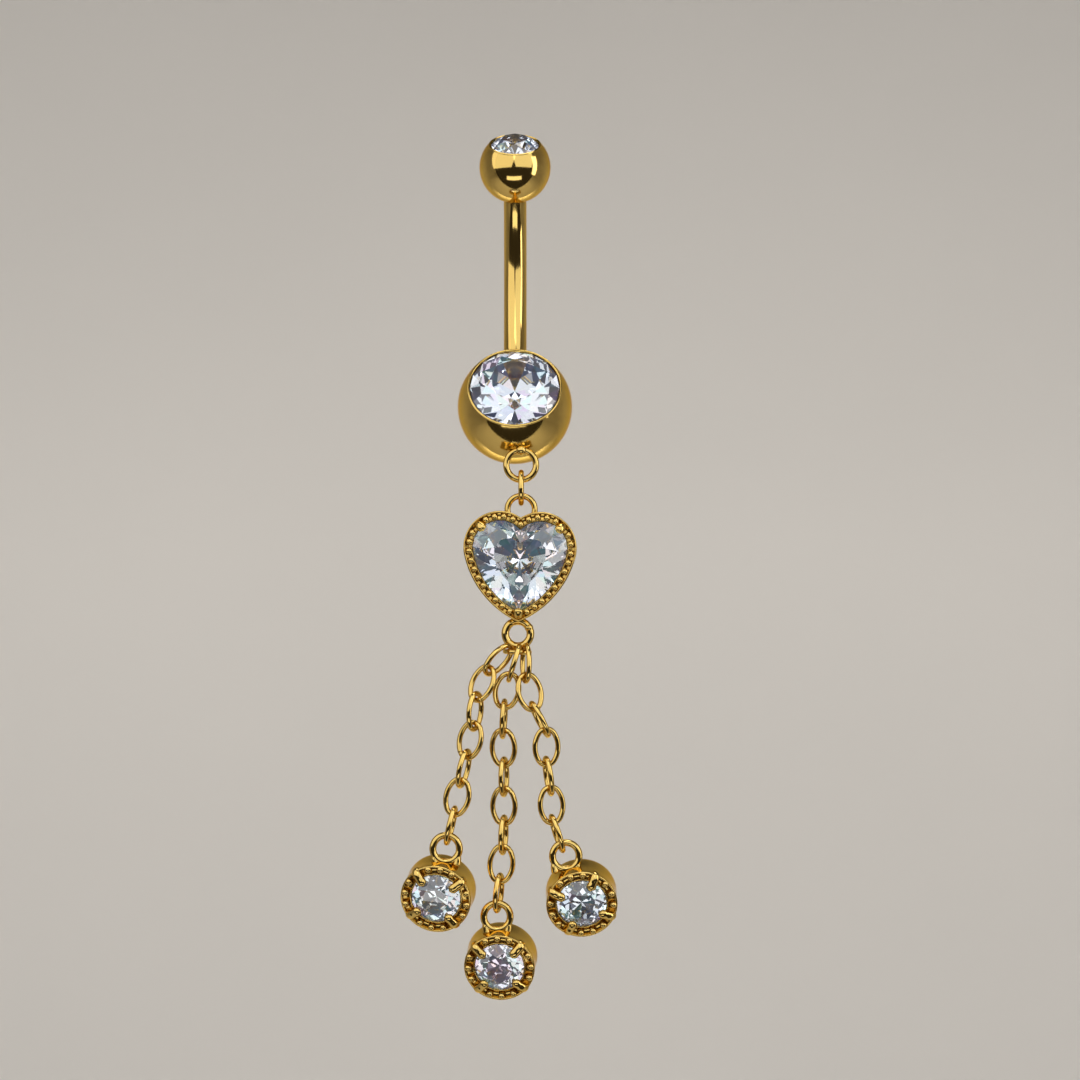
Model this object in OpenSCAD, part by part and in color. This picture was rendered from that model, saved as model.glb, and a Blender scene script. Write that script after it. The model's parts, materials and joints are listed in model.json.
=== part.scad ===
// Navel ring: curved barbell with a jewelled ball at each end, a heart pendant and a three-chain tassel.
// Millimetres, +Z up, front toward -Y. The origin is the middle of the bar, where the piercing sits.

/* [Bar] */
// Diameter of the bar
bar_d = 1.6; // [1.3:0.1:2.1]
// Straight distance between the bar's two shoulders
bar_span = 11.4; // [9:0.1:14]
// Angle that the bar bends through, end to end
bar_bend = 60; // [30:1:70]
// Diameter of the reduced pin at each end of the bar
pin_d = 1.1; // [0.8:0.05:1.2]
// Length of the pin that the top ball goes on
top_pin_l = 1.2; // [0.8:0.1:1.4]
// Length of the pin that is pressed into the lower ball
low_pin_l = 1.1; // [0.6:0.1:1.2]

/* [Balls] */
// Diameter of the top ball
top_ball_d = 5; // [4.4:0.1:6]
// Diameter of the lower ball
low_ball_d = 8; // [7.4:0.1:9]
// Width of the flat ring that each ball has round the bar
seat_ring = 0.15; // [0.05:0.05:0.3]
// How high the lower stone looks up from straight ahead, in degrees
low_stone_lift = 33; // [20:1:45]

/* [Stones] */
// Diameter of the top ball's stone
top_stone_d = 3.3; // [2.6:0.1:3.6]
// Diameter of the lower ball's stone
low_stone_d = 6.2; // [5:0.1:6.4]
// Diameter of each drop's stone
drop_stone_d = 3.4; // [3:0.1:3.8]
// Crown height of a round stone, as a share of its diameter
crown_share = 0.16; // [0.12:0.01:0.2]
// Pavilion depth of a round stone, as a share of its diameter
pavilion_share = 0.4; // [0.35:0.01:0.43]
// Table width of a stone, as a share of its width
table_share = 0.56; // [0.5:0.01:0.64]
// Thickness of a stone's girdle
girdle_t = 0.12; // [0.08:0.02:0.2]
// Width of the bright rim round a stone that is set in a ball
ball_rim = 0.16; // [0.1:0.02:0.24]

/* [Ball loop and connector] */
// Outer diameter of the loop soldered under the lower ball
loop_d = 2.5; // [2.2:0.1:3]
// Wire of that loop
loop_wire = 0.45; // [0.35:0.05:0.55]
// How far below straight ahead the loop is soldered to the ball, in degrees
loop_drop = 50; // [40:1:60]
// How far the loop sits to the right of the ball's middle
loop_aside = 0.45; // [0:0.05:0.8]
// Outer length of the connector link
connector_l = 2.5; // [2.3:0.1:3.2]
// Outer width of the connector link
connector_w = 1.9; // [1.7:0.1:2.2]
// Wire of the connector link
connector_wire = 0.38; // [0.3:0.02:0.44]

/* [Heart] */
// Radius of each lobe of the heart stone
lobe_r = 1.85; // [1.7:0.05:2]
// Distance of each lobe's centre from the middle
lobe_x = 1.39; // [1.25:0.01:1.45]
// Radius of the long side curves
flank_r = 6; // [5:0.1:7]
// Angle below level where a lobe runs into its side curve
flank_turn = 14; // [8:1:18]
// Width of the beaded border round the stone
heart_border = 0.65; // [0.55:0.05:0.8]
// Depth of the setting, front to back
heart_depth = 2.6; // [2.4:0.1:3]
// Crown height of the heart stone
heart_crown = 0.85; // [0.6:0.05:1]
// Pavilion depth of the heart stone
heart_pavilion = 2.1; // [1.7:0.05:2.2]
// Lean of the pendant to the left, in degrees
heart_lean = 1.5; // [0:0.5:6]
// Outer diameter of the upper bail
bail_d = 2.3; // [2.1:0.1:2.7]
// Wire of the upper bail
bail_wire = 0.42; // [0.34:0.02:0.48]
// Height of the upper bail's centre above the dip between the lobes
bail_rise = 0.56; // [0.4:0.02:0.65]
// Outer diameter of the lower bail
low_bail_d = 2.27; // [2:0.1:2.6]
// Wire of the lower bail
low_bail_wire = 0.54; // [0.4:0.02:0.6]
// Outer diameter of the small level ring that carries the chains
tassel_ring_d = 2; // [1.9:0.02:2.3]
// Wire of that ring
tassel_wire = 0.34; // [0.28:0.02:0.36]

/* [Bezels] */
// Thickness of the thin outer wall of a bezel
bezel_wall = 0.15; // [0.1:0.01:0.2]
// Depth of the beaded channel behind the wall's edge
channel_t = 0.3; // [0.2:0.02:0.4]
// Diameter of the heart's border beads
heart_bead_d = 0.42; // [0.34:0.02:0.48]
// Diameter of the drops' border beads
drop_bead_d = 0.46; // [0.36:0.02:0.5]
// Beads on each side of the heart, from the dip to the point
heart_beads = 17; // [12:1:19]
// Beads between two claws of a drop
drop_beads = 3; // [2:1:4]
// Radius of a claw's round tip
claw_r = 0.28; // [0.22:0.01:0.32]
// Width of the ledge that carries a stone
ledge_w = 0.2; // [0.14:0.02:0.26]

/* [Drops] */
// Width of the beaded border of a drop
drop_border = 0.74; // [0.66:0.02:0.9]
// Depth of a drop's bezel, front to back
drop_depth = 2.4; // [2:0.1:3]
// How far a drop's face looks down, in degrees
drop_nod = 18; // [0:1:25]
// How far a drop's face is turned to the left, in degrees
drop_turn = 6; // [0:1:12]
// Outer diameter of a drop's bail
drop_bail_d = 2.3; // [2:0.1:2.6]
// Wire of a drop's bail
drop_bail_wire = 0.48; // [0.36:0.02:0.52]

/* [Chains] */
// Outer length of a chain link
link_l = 2.82; // [2.6:0.02:3.2]
// Outer width of a chain link
link_w = 1.95; // [1.8:0.05:2.2]
// Wire of a chain link
link_wire = 0.36; // [0.28:0.02:0.4]

/* [Clearances] */
// Space between two wires that hang on each other
wire_gap = 0.1; // [0.08:0.01:0.14]
// Space between a stone and its setting
stone_gap = 0.03; // [0.02:0.01:0.06]
// Space round the pin in the top ball's bore
bore_gap = 0.05; // [0.03:0.01:0.08]
// Space between the top ball and the bar's shoulder
shoulder_gap = 0.03; // [0.02:0.01:0.06]

/* [Hidden] */
$fn = 48;

gold = [0.80, 0.63, 0.22];
clear = [0.86, 0.90, 0.95];

// Bar: an arc in the YZ plane that bulges back through the origin.
bar_half = bar_bend / 2;
bar_r = bar_span / 2 / sin(bar_half);
function bar_at(a) = [0, bar_r * (cos(a) - 1), bar_r * sin(a)];
top_dir = [0, -sin(bar_half), cos(bar_half)];
low_dir = [0, -sin(bar_half), -cos(bar_half)];

// Balls: each has a flat seat where the bar's shoulder meets it.
seat_r = bar_d / 2 + seat_ring;
top_seat = sqrt(pow(top_ball_d / 2, 2) - seat_r * seat_r);
low_seat = sqrt(pow(low_ball_d / 2, 2) - seat_r * seat_r);
top_c = bar_at(bar_half) + (top_seat + shoulder_gap) * top_dir;
low_c = bar_at(-bar_half) + low_seat * low_dir;

// Height of the plane at which a stone with its rim leaves the ball.
function rim_at(ball_d, stone_d) = sqrt(pow(ball_d / 2, 2) - pow(stone_d / 2 + ball_rim, 2));

// Ball loop, connector and pendant hang plumb under each other.
loop_r = (loop_d - loop_wire) / 2;
low_ball_reach = sqrt(pow(low_ball_d / 2, 2) - loop_aside * loop_aside);
loop_top = low_c + [loop_aside, -low_ball_reach * cos(loop_drop), -low_ball_reach * sin(loop_drop)]
    + 0.15 * loop_wire * [0, -cos(loop_drop), -sin(loop_drop)];
loop_c = loop_top - [0, 0, loop_r];
hinge_c = loop_c - [0, 0, loop_r];
connector_c = hinge_c - [0, 0, connector_l / 2 - connector_wire - wire_gap - loop_wire / 2];
swing_c = connector_c - [0, 0, connector_l / 2 - connector_wire / 2];
bail_r = (bail_d - bail_wire) / 2;
bail_top = swing_c + [0, 0, connector_wire / 2 + wire_gap + bail_wire / 2];
bail_c = bail_top - [0, 0, bail_r];

// Heart outline, right half: a lobe arc that runs into a flatter side arc at the same tangent.
// The outline grows by g when both radii grow by g.
flank_x = lobe_x - (flank_r - lobe_r) * cos(flank_turn);
flank_z = (flank_r - lobe_r) * sin(flank_turn);
function dip_angle(g) = acos(-lobe_x / (lobe_r + g));
function tip_angle(g) = acos(-flank_x / (flank_r + g));
function dip_z(g) = (lobe_r + g) * sin(dip_angle(g));
function tip_z(g) = flank_z - (flank_r + g) * sin(tip_angle(g));
function lobe_len(g) = (lobe_r + g) * (dip_angle(g) + flank_turn) * PI / 180;
function flank_len(g) = (flank_r + g) * (tip_angle(g) - flank_turn) * PI / 180;
function half_len(g) = lobe_len(g) + flank_len(g);
function on_lobe(g, a) = [lobe_x + (lobe_r + g) * cos(a), (lobe_r + g) * sin(a)];
function on_flank(g, a) = [flank_x + (flank_r + g) * cos(a), flank_z + (flank_r + g) * sin(a)];
// Point at a share t of the way from the dip (0) to the point (1), on the right half.
function heart_at(g, t) = let(s = t * half_len(g))
    s < lobe_len(g)
        ? on_lobe(g, dip_angle(g) - s / (lobe_r + g) * 180 / PI)
        : on_flank(g, -flank_turn - (s - lobe_len(g)) / (flank_r + g) * 180 / PI);
function heart_turn(g, t) = let(s = t * half_len(g))
    s < lobe_len(g)
        ? dip_angle(g) - s / (lobe_r + g) * 180 / PI
        : -flank_turn - (s - lobe_len(g)) / (flank_r + g) * 180 / PI;
function heart_outline(g, n) = concat(
    [for (i = [0:n]) heart_at(g, i / n)],
    [for (i = [n - 1:-1:1]) let(p = heart_at(g, i / n)) [-p[0], p[1]]]);

heart_drop = dip_z(heart_border) + bail_rise;
low_bail_r = (low_bail_d - low_bail_wire) / 2;
low_bail_z = tip_z(heart_border) - 0.95 * low_bail_r;
tassel_r = (tassel_ring_d - tassel_wire) / 2;
tassel_z = low_bail_z - low_bail_r - 0.4 * (low_bail_wire + tassel_wire);
// The stone's front edge lies this far behind the front edge of its bezel.
girdle_back = 0.5 * channel_t;

// Places in the pendant's own frame: origin at the upper bail's centre, leaning left with it.
function pendant(p) = bail_c + [p[0] * cos(heart_lean) + p[2] * sin(heart_lean), p[1],
    -p[0] * sin(heart_lean) + p[2] * cos(heart_lean)];
heart_mid = [0, -heart_depth / 2, -heart_drop];
tassel_c = pendant([0, -tassel_r, tassel_z - heart_drop]);

// Chains. One row per link: lean to the right, tilt to the front, turn about its own length, in degrees.
// A turn of 0 shows the link's face and 90 its edge.
LEAN = 0; TILT = 1; TURN = 2;
left_run = [[-45, 14, 50], [-24, 4, -32], [-5, 0, 60], [-14, -2, -24], [-12, -1, 70], [-13, -1, -12],
    [-13, 0, 82]];
middle_run = [[-17, -4, 90], [-11, -14, 6], [-3, -6, 84], [2, -2, -12], [0, -1, 76], [0, -1, -14],
    [-2, 0, 78], [-6, 0, -8], [-5, 0, 76]];
right_run = [[1, 11, -73], [14, 4, 18], [27, 0, -78], [0, -2, 8], [8, -2, -78], [4, -1, 12], [18, 0, -80]];
// Where each chain hangs on the level ring: degrees from straight ahead, left negative.
left_hook = -67;
middle_hook = 0;
right_hook = 44;
// Lean of each drop to the right, in degrees.
left_drop_lean = -11;
middle_drop_lean = 2;
right_drop_lean = 20;

pitch = link_l - 2 * link_wire - wire_gap;
function way(row) = [sin(row[LEAN]) * cos(row[TILT]), -sin(row[TILT]), -cos(row[LEAN]) * cos(row[TILT])];
function hook_point(a) = tassel_c + tassel_r * [sin(a), -cos(a), 0];
function first_c(run, a) = hook_point(a)
    + (link_l / 2 - link_wire - wire_gap - tassel_wire / 2) * way(run[0]);
function link_c(run, a, i) = i == 0 ? first_c(run, a)
    : link_c(run, a, i - 1) + pitch / 2 * (way(run[i - 1]) + way(run[i]));

// Drops: the bail hangs in the last link, and the bezel hangs from the bail.
drop_r = drop_stone_d / 2 + drop_border;
drop_bail_r = (drop_bail_d - drop_bail_wire) / 2;
drop_bail_sink = 0.1;
function drop_bail_top(run, a) = let(n = len(run) - 1) link_c(run, a, n)
    + (link_l / 2 - link_wire - wire_gap - drop_bail_wire / 2) * way(run[n]);
function drop_bail_c(run, a, lean) = drop_bail_top(run, a) + drop_bail_r * [sin(lean), 0, -cos(lean)];

// Wire ring in the XZ plane.
module ring(d, wire) {
    rotate([90, 0, 0]) rotate_extrude($fn = 64) translate([(d - wire) / 2, 0]) circle(d = wire, $fn = 24);
}

// One arc of round wire in the XZ plane, of the given radius, from angle a to angle b.
module wire_arc(r, wire, a, b) {
    rotate([90, 0, 0]) rotate_extrude(start = a, angle = b - a, $fn = 96)
        translate([r, 0]) circle(d = wire, $fn = 24);
}

// Oval link in the XZ plane, its length along Z: two tight end arcs and two flat side arcs.
// The arcs stop just short of each other inside a small swell of the wire where they meet.
module oval_link(l, w, wire) {
    a = (l - wire) / 2;
    b = (w - wire) / 2;
    end_r = 0.78 * b;
    side_r = (pow(a - end_r, 2) + b * b - end_r * end_r) / (2 * (b - end_r));
    turn = atan2(a - end_r, side_r - b);
    end_cut = 0.1 * wire / end_r * 180 / PI;
    side_cut = 0.1 * wire / side_r * 180 / PI;
    for (s = [0, 180]) rotate([0, s, 0]) {
        translate([0, 0, a - end_r]) wire_arc(end_r, wire, turn + end_cut, 180 - turn - end_cut);
        translate([b - side_r, 0, 0]) wire_arc(side_r, wire, -turn + side_cut, turn - side_cut);
        for (z = [-1, 1]) translate([b - side_r + side_r * cos(turn), 0, z * side_r * sin(turn)])
            sphere(d = 1.05 * wire, $fn = 32);
    }
}

// Round brilliant: girdle's front edge at the origin plane, crown toward +Z, pavilion toward -Z.
// Eight table corners, stars, kites and mains, and sixteen halves above and below the girdle.
module round_stone(d) {
    r = d / 2;
    crown = crown_share * d;
    pavilion = pavilion_share * d;
    table_r = table_share * r;
    mid_r = 0.5 * (table_r + r) * 1.03;
    mid_z = crown * (r - mid_r * cos(22.5)) / (r - table_r);
    low_r = 0.55 * r;
    low_z = -girdle_t - pavilion * (1 - low_r * cos(22.5) / r);
    points = concat(
        [for (i = [0:7]) [table_r * cos(45 * i), table_r * sin(45 * i), crown]],
        [for (i = [0:7]) [mid_r * cos(45 * i + 22.5), mid_r * sin(45 * i + 22.5), mid_z]],
        [for (i = [0:15]) [r * cos(22.5 * i), r * sin(22.5 * i), 0]],
        [for (i = [0:15]) [r * cos(22.5 * i), r * sin(22.5 * i), -girdle_t]],
        [for (i = [0:7]) [low_r * cos(45 * i + 22.5), low_r * sin(45 * i + 22.5), low_z]],
        [[0, 0, -girdle_t - pavilion]]);
    T = 0; M = 8; G = 16; H = 32; N = 48; C = 56;
    polyhedron(points, concat(
        [[for (i = [7:-1:0]) T + i]],
        [for (i = [0:7]) let(j = (i + 1) % 8) [T + i, T + j, M + i]],
        [for (i = [0:7]) let(h = (i + 7) % 8) [T + i, M + i, G + 2 * i, M + h]],
        [for (i = [0:7]) [M + i, G + (2 * i + 1) % 16, G + 2 * i]],
        [for (i = [0:7]) [M + i, G + (2 * i + 2) % 16, G + (2 * i + 1) % 16]],
        [for (i = [0:15]) let(j = (i + 1) % 16) [G + i, G + j, H + j, H + i]],
        [for (i = [0:7]) [N + i, H + 2 * i, H + (2 * i + 1) % 16]],
        [for (i = [0:7]) [N + i, H + (2 * i + 1) % 16, H + (2 * i + 2) % 16]],
        [for (i = [0:7]) let(h = (i + 7) % 8) [C, N + h, H + 2 * i, N + i]]));
}

// Heart brilliant in the same frame, its point toward -Y and its dip toward +Y.
// The outline's points run all the way round; even ones carry table corners and odd ones the half facets.
module heart_gem() {
    n = 32;
    mid = [0, -0.45 * lobe_r];
    outline = heart_outline(0, n / 2);
    function toward(i, k) = mid + k * (outline[i % n] - mid);
    table_k = table_share;
    half_k = 0.5 * (1 + table_share);
    low_k = 0.5;
    h = n / 2;
    points = concat(
        [for (i = [0:h - 1]) let(p = toward(2 * i, table_k)) [p[0], p[1], heart_crown]],
        [for (i = [0:h - 1]) let(p = toward(2 * i + 1, half_k)) [p[0], p[1], 0.52 * heart_crown]],
        [for (i = [0:n - 1]) [outline[i][0], outline[i][1], 0]],
        [for (i = [0:n - 1]) [outline[i][0], outline[i][1], -girdle_t]],
        [for (i = [0:h - 1]) let(p = toward(2 * i + 1, low_k))
            [p[0], p[1], -girdle_t - (1 - low_k) * 1.04 * heart_pavilion]],
        [[mid[0], mid[1], -girdle_t - heart_pavilion]]);
    T = 0; M = h; G = 2 * h; H = G + n; N = H + n; C = N + h;
    // The outline runs clockwise seen from the front.
    polyhedron(points, concat(
        [[for (i = [0:h - 1]) T + i]],
        [for (i = [0:h - 1]) let(j = (i + 1) % h) [T + j, T + i, M + i]],
        [for (i = [0:h - 1]) [T + i, G + 2 * i, M + i]],
        [for (i = [0:h - 1]) let(b = (i + h - 1) % h) [T + i, M + b, G + 2 * i]],
        [for (i = [0:h - 1]) [M + i, G + 2 * i, G + 2 * i + 1]],
        [for (i = [0:h - 1]) [M + i, G + 2 * i + 1, G + (2 * i + 2) % n]],
        [for (i = [0:n - 1]) let(j = (i + 1) % n) [G + j, G + i, H + i, H + j]],
        [for (i = [0:h - 1]) [N + i, H + 2 * i + 1, H + 2 * i]],
        [for (i = [0:h - 1]) [N + i, H + (2 * i + 2) % n, H + 2 * i + 1]],
        [for (i = [0:h - 1]) [C, N + i, H + 2 * i]],
        [for (i = [0:h - 1]) let(b = (i + h - 1) % h) [C, H + 2 * i, N + b]]));
}

// Claw in a bezel's frame: origin on the stone's front edge, outward along +X, front toward +Z.
// Its round tip sits over the crown and its post stands in the channel.
module claw() {
    post_r = 0.5 * claw_r;
    foot = -channel_t + girdle_back - 0.1;
    difference() {
        union() {
            difference() {
                translate([0.1 * claw_r, 0, 0.45 * claw_r]) sphere(claw_r, $fn = 32);
                translate([-1, -1, -2]) cube(2);
            }
            translate([stone_gap + 1.2 * post_r, 0, foot]) cylinder(r = post_r, h = 0.5 * claw_r - foot, $fn = 24);
        }
        translate([stone_gap, 0, 0]) rotate([0, 46, 0]) translate([-2, -1, -2]) cube(2);
    }
}

// Depth of the ledge below the girdle that keeps a stone's pavilion clear of it.
function ledge_t(r, pavilion) = (ledge_w + 2.5 * stone_gap) * pavilion / r;

// Round bezel, face toward +Z, front edge at the origin plane: thin wall, beaded channel, ledge, open back.
module round_bezel() {
    stone_r = drop_stone_d / 2;
    pocket_r = stone_r + stone_gap;
    hole_r = stone_r - ledge_w;
    ledge_z = -girdle_back - girdle_t - ledge_t(stone_r, pavilion_share * drop_stone_d);
    inner_r = drop_r - bezel_wall;
    edge = 0.25;
    rotate_extrude($fn = 96) polygon([[hole_r, -drop_depth], [drop_r - edge, -drop_depth],
        [drop_r, -drop_depth + edge], [drop_r, 0], [inner_r, 0], [inner_r, -channel_t],
        [pocket_r, -channel_t], [pocket_r, ledge_z], [hole_r, ledge_z]]);
    places = 4 * (drop_beads + 1);
    bead_r = (pocket_r + inner_r) / 2;
    for (i = [0:places - 1]) rotate(45 + 360 * i / places) {
        if (i % (drop_beads + 1) == 0)
            translate([stone_r, 0, -girdle_back]) claw();
        else
            translate([bead_r, 0, -channel_t + 0.25 * drop_bead_d]) sphere(d = drop_bead_d, $fn = 24);
    }
}

// Heart bezel in the same frame.
module heart_bezel_body() {
    ledge_z = -girdle_back - girdle_t - 1.5 * ledge_t(lobe_r, heart_pavilion);
    n = 48;
    difference() {
        translate([0, 0, -heart_depth]) linear_extrude(heart_depth) polygon(heart_outline(heart_border, n));
        translate([0, 0, -channel_t]) linear_extrude(1) polygon(heart_outline(heart_border - bezel_wall, n));
        translate([0, 0, ledge_z]) linear_extrude(2) polygon(heart_outline(stone_gap, n));
        translate([0, 0, -heart_depth - 1]) linear_extrude(heart_depth + 1) polygon(heart_outline(-ledge_w, n));
    }
}

// The two upper claws stand in the place of this bead, counted from the dip.
claw_bead = 5;
module heart_trim() {
    bead_g = (stone_gap + heart_border - bezel_wall) / 2;
    for (s = [0, 1]) mirror([s, 0, 0]) for (i = [s:heart_beads - 1]) {
        p = heart_at(bead_g, i / heart_beads);
        if (i != claw_bead)
            translate([p[0], p[1], -channel_t + 0.25 * heart_bead_d]) sphere(d = heart_bead_d, $fn = 24);
    }
    for (s = [0, 1]) mirror([s, 0, 0]) {
        p = heart_at(0, claw_bead / heart_beads);
        translate([p[0], p[1], -girdle_back]) rotate(heart_turn(0, claw_bead / heart_beads)) claw();
    }
    translate([0, tip_z(0), -girdle_back]) rotate(-90) claw();
}

module face_front() { rotate([90, 0, 0]) children(); }
module in_pendant() { translate(bail_c) rotate([0, heart_lean, 0]) children(); }
module in_drop(run, a, lean) { translate(drop_bail_c(run, a, lean)) rotate([0, -lean, 0]) children(); }
module in_bezel() {
    translate([0, 0, drop_bail_sink - drop_bail_r]) rotate([0, 0, -drop_turn]) rotate([drop_nod, 0, 0])
        translate([0, -drop_depth / 2, -drop_r]) face_front() children();
}

// Recess for a stone in a ball, along +Z from the ball's centre: the cap is cut off at the rim plane.
module ball_recess(ball_d, stone_d) {
    rim = rim_at(ball_d, stone_d);
    floor_z = rim - ball_rim / 2 - girdle_t - 2 * stone_gap;
    reach = pavilion_share * stone_d;
    translate([0, 0, rim]) cylinder(d = ball_d, h = ball_d / 2);
    translate([0, 0, floor_z]) cylinder(d = stone_d + 2 * stone_gap, h = ball_d / 2);
    translate([0, 0, floor_z - reach]) cylinder(r1 = 0.1 * stone_d, r2 = stone_d / 2 + stone_gap, h = reach + 0.001);
}

module at_ball_stone(ball_d, stone_d) {
    translate([0, 0, rim_at(ball_d, stone_d) - ball_rim / 2]) children();
}

module curved_bar() {
    color(gold) {
        translate([0, -bar_r, 0]) rotate([90, 0, 90])
            rotate_extrude(start = -bar_half, angle = bar_bend, $fn = 128) translate([bar_r, 0]) circle(d = bar_d);
        translate(bar_at(bar_half)) rotate([bar_half, 0, 0]) translate([0, 0, -0.3])
            cylinder(d = pin_d, h = top_pin_l + 0.3);
        translate(bar_at(-bar_half)) rotate([180 - bar_half, 0, 0]) translate([0, 0, -0.3])
            cylinder(d = pin_d, h = low_pin_l + 0.3);
    }
}

module top_ball() {
    color(gold) translate(top_c) rotate([bar_half, 0, 0]) difference() {
        sphere(d = top_ball_d, $fn = 96);
        translate([0, 0, -top_seat - 2]) cylinder(r = top_ball_d / 2, h = 2);
        translate([0, 0, -top_seat - 1]) cylinder(d = pin_d + 2 * bore_gap, h = 1 + top_pin_l + 2 * bore_gap);
        ball_recess(top_ball_d, top_stone_d);
    }
}

module top_stone() {
    color(clear) translate(top_c) rotate([bar_half, 0, 0])
        at_ball_stone(top_ball_d, top_stone_d) round_stone(top_stone_d);
}

module lower_ball() {
    color(gold) {
        difference() {
            union() {
                translate(low_c) sphere(d = low_ball_d, $fn = 128);
                translate(loop_top) sphere(d = 1.7 * loop_wire, $fn = 32);
            }
            translate(low_c) rotate([90 - low_stone_lift, 0, 0]) ball_recess(low_ball_d, low_stone_d);
            translate(low_c) rotate([-bar_half, 0, 0]) {
                translate([0, 0, low_seat]) cylinder(r = low_ball_d / 4, h = 2);
                translate([0, 0, low_seat - low_pin_l - 2 * bore_gap])
                    cylinder(d = pin_d + 2 * bore_gap, h = low_pin_l + 1);
            }
        }
        translate(loop_c) ring(loop_d, loop_wire);
    }
}

module lower_stone() {
    color(clear) translate(low_c) rotate([90 - low_stone_lift, 0, 0])
        at_ball_stone(low_ball_d, low_stone_d) round_stone(low_stone_d);
}

module connector_link() {
    color(gold) translate(connector_c) rotate([0, 0, 90]) oval_link(connector_l, connector_w, connector_wire);
}

module heart_setting() {
    color(gold) in_pendant() {
        ring(bail_d, bail_wire);
        translate(heart_mid) face_front() {
            heart_bezel_body();
            heart_trim();
        }
        translate([0, 0, low_bail_z - heart_drop]) {
            ring(low_bail_d, low_bail_wire);
            rotate([0, -30, 0]) translate([low_bail_r, 0, 0]) sphere(d = 1.25 * low_bail_wire, $fn = 24);
        }
        translate([0, -tassel_r, tassel_z - heart_drop])
            rotate_extrude($fn = 64) translate([tassel_r, 0]) circle(d = tassel_wire, $fn = 24);
        translate([0, 0, tassel_z - heart_drop + 0.5 * tassel_wire]) sphere(d = 1.4 * tassel_wire, $fn = 24);
    }
}

module heart_stone() {
    color(clear) in_pendant() translate(heart_mid) face_front() translate([0, 0, -girdle_back]) heart_gem();
}

module chain_link(run, a, i) {
    color(gold) translate(link_c(run, a, i - 1))
        rotate([0, -run[i - 1][LEAN], 0]) rotate([-run[i - 1][TILT], 0, 0]) rotate([0, 0, run[i - 1][TURN]])
            oval_link(link_l, link_w, link_wire);
}

module drop(run, a, lean) {
    color(gold) in_drop(run, a, lean) {
        ring(drop_bail_d, drop_bail_wire);
        in_bezel() round_bezel();
    }
}

module drop_stone(run, a, lean) {
    color(clear) in_drop(run, a, lean) in_bezel() translate([0, 0, -girdle_back]) round_stone(drop_stone_d);
}

module left_link(i) { chain_link(left_run, left_hook, i); }
module middle_link(i) { chain_link(middle_run, middle_hook, i); }
module right_link(i) { chain_link(right_run, right_hook, i); }

curved_bar();
lower_ball();
lower_stone();
top_ball();
top_stone();
connector_link();
heart_setting();
heart_stone();
left_link(1);  // left_link_1
left_link(2);  // left_link_2
left_link(3);  // left_link_3
left_link(4);  // left_link_4
left_link(5);  // left_link_5
left_link(6);  // left_link_6
left_link(7);  // left_link_7
middle_link(1);  // middle_link_1
middle_link(2);  // middle_link_2
middle_link(3);  // middle_link_3
middle_link(4);  // middle_link_4
middle_link(5);  // middle_link_5
middle_link(6);  // middle_link_6
middle_link(7);  // middle_link_7
middle_link(8);  // middle_link_8
middle_link(9);  // middle_link_9
right_link(1);  // right_link_1
right_link(2);  // right_link_2
right_link(3);  // right_link_3
right_link(4);  // right_link_4
right_link(5);  // right_link_5
right_link(6);  // right_link_6
right_link(7);  // right_link_7
drop(left_run, left_hook, left_drop_lean);  // left_drop
drop(middle_run, middle_hook, middle_drop_lean);  // middle_drop
drop(right_run, right_hook, right_drop_lean);  // right_drop
drop_stone(left_run, left_hook, left_drop_lean);  // left_drop_stone
drop_stone(middle_run, middle_hook, middle_drop_lean);  // middle_drop_stone
drop_stone(right_run, right_hook, right_drop_lean);  // right_drop_stone
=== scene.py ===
"""Navel ring with a heart pendant and a three-chain tassel.

Puts finishes, cut stones, settings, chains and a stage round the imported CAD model.
"""

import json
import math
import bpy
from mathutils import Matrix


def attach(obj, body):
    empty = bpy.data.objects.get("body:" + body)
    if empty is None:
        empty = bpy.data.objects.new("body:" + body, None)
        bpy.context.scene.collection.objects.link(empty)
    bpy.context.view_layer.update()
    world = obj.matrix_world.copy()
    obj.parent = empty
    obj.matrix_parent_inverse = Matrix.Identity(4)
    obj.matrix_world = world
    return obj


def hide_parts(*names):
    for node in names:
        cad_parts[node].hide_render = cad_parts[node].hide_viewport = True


bl_info = {
    "name": "Navel Ring Finish",
    "version": (1, 0, 0),
    "blender": (4, 5, 0),
    "location": "3D View > Sidebar > Navel Ring",
    "description": "Chains, settings, cut stones, polished metal and studio of a navel ring",
    "category": "Object",
}

import bpy
import numpy as np
from mathutils import Vector

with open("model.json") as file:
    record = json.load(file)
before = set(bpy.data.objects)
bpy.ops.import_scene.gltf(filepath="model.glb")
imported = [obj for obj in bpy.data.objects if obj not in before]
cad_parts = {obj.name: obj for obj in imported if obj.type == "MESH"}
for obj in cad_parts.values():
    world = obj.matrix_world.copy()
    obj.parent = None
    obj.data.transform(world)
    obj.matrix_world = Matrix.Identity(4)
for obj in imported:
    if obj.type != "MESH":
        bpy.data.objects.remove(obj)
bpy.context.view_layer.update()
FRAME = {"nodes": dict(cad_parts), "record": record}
NODES = FRAME["nodes"]
BODY_OF = {n: b for b, names in FRAME["record"]["behaviour"]["bodies"].items() for n in names}
MM = 0.001

LINKS = [f"{side}_link_{i}" for side, count in (("left", 7), ("middle", 9), ("right", 7))
         for i in range(1, count + 1)]
DROPS = ("left_drop", "middle_drop", "right_drop")
BALL_STONES = {"top_stone": "top_ball", "lower_stone": "lower_ball"}
STONES = ("lower_stone", "top_stone", "left_drop_stone", "middle_drop_stone", "right_drop_stone",
          "heart_stone")
FIRST_SEED = 7


# ---------------------------------------------------------------- sizes and colours

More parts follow.
